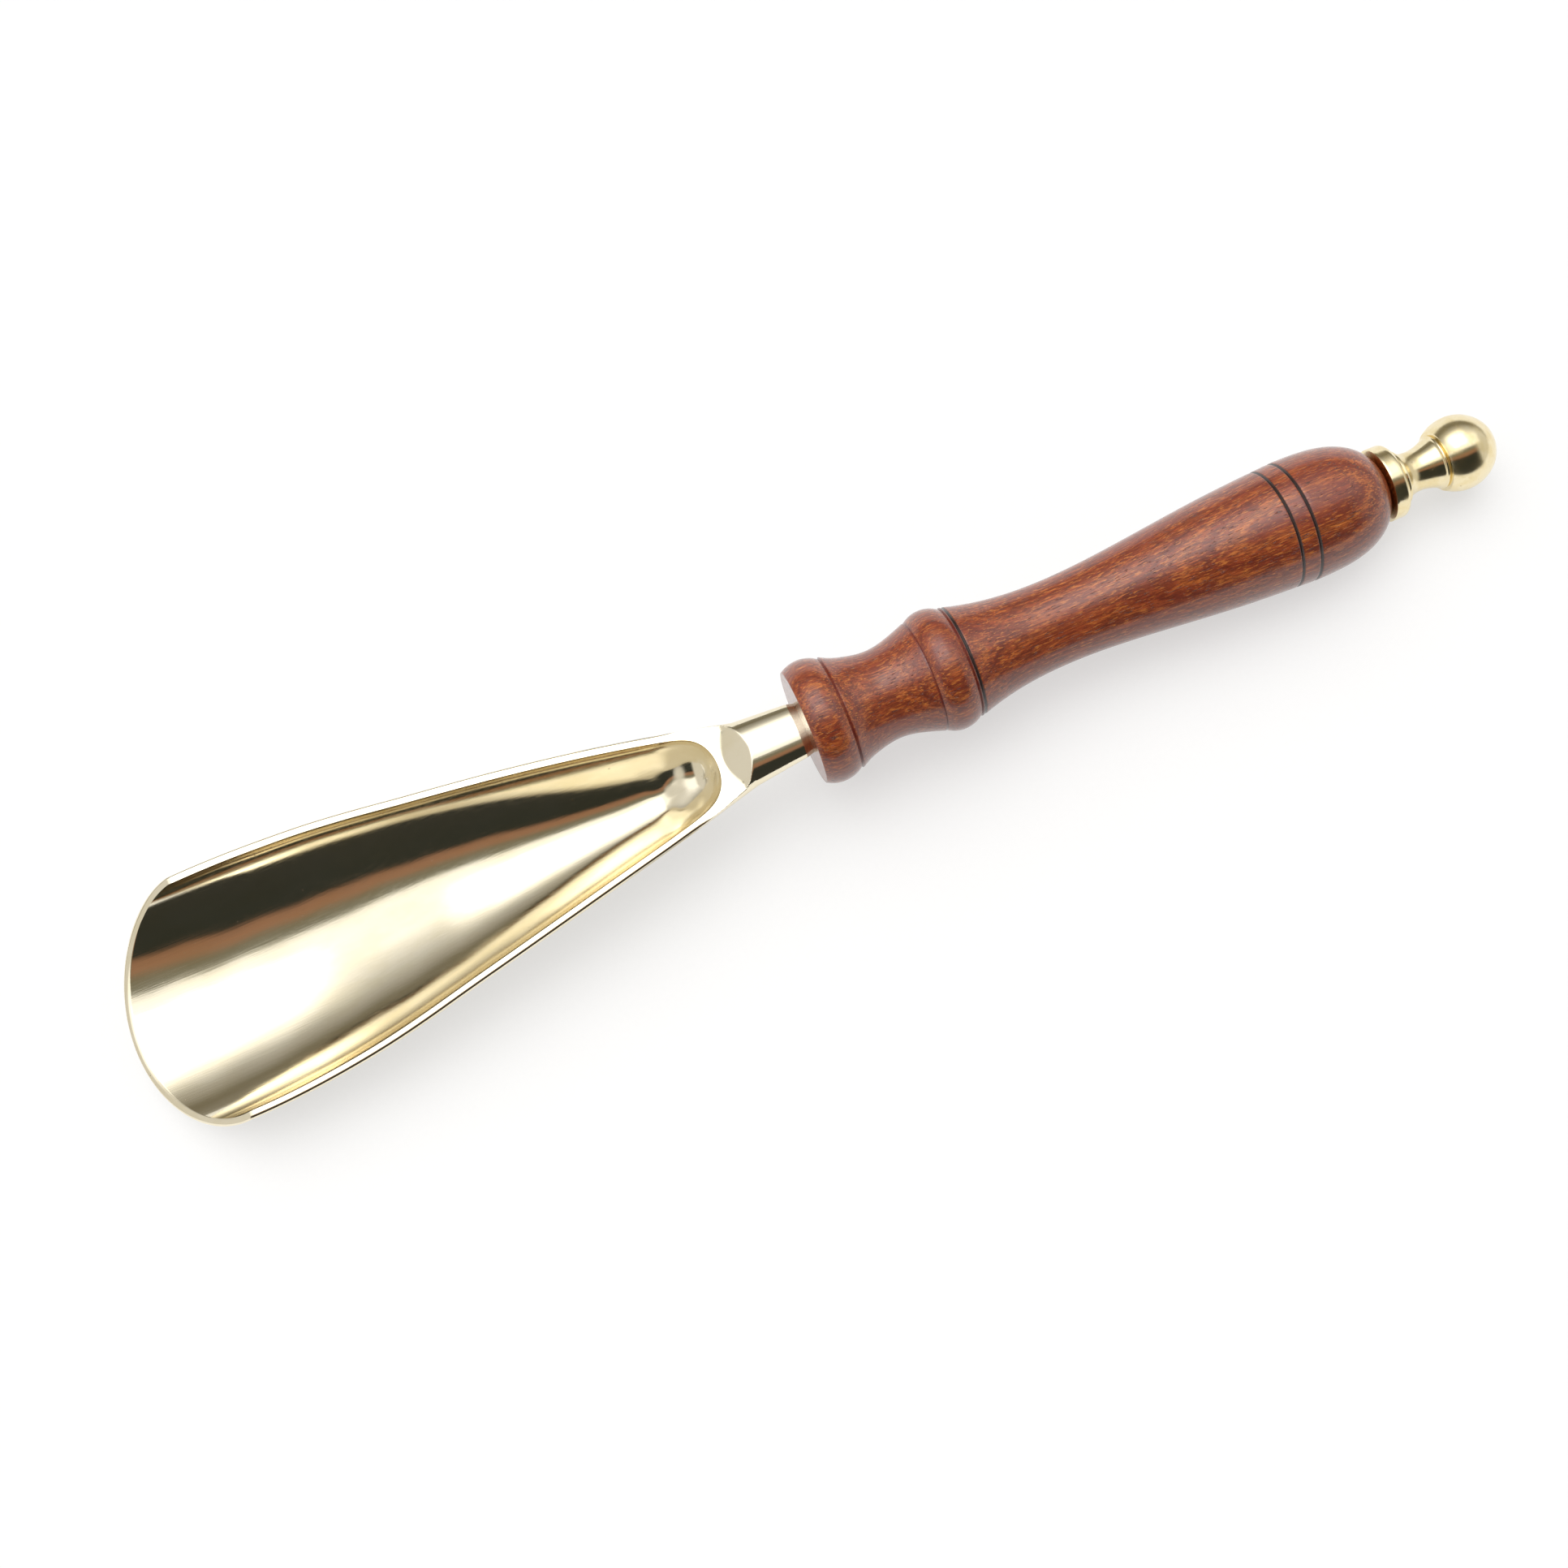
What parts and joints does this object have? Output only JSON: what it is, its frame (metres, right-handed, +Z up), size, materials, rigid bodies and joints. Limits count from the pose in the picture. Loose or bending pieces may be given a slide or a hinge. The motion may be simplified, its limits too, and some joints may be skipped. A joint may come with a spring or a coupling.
{
  "type": "long shoehorn",
  "caption": "Long shoehorn: a deep brass heel scoop on a flattened neck, a turned wooden handle with beads and ring grooves, and a brass ball finial.",
  "frame": {"origin": "on the ground under the centre of the part's box, as it lies with the scoop's hollow upwards", "axes": "+X runs from the scoop's tip to the finial, +Y is across the scoop, +Z is up from the surface that it lies on"},
  "size_m": [0.3092, 0.053, 0.0335],
  "materials": {
    "blade_brass": "hand-polished casting",
    "handle_wood": "red-brown hardwood under gloss lacquer",
    "finial_brass": "turned, lightly tarnished",
    "rod_steel": "plain zinc-plated stud"
  },
  "bodies": {
    "root": {"blade": "blade_brass", "handle": "handle_wood", "finial": "finial_brass", "tie_rod": "rod_steel"}
  },
  "joints": []
}
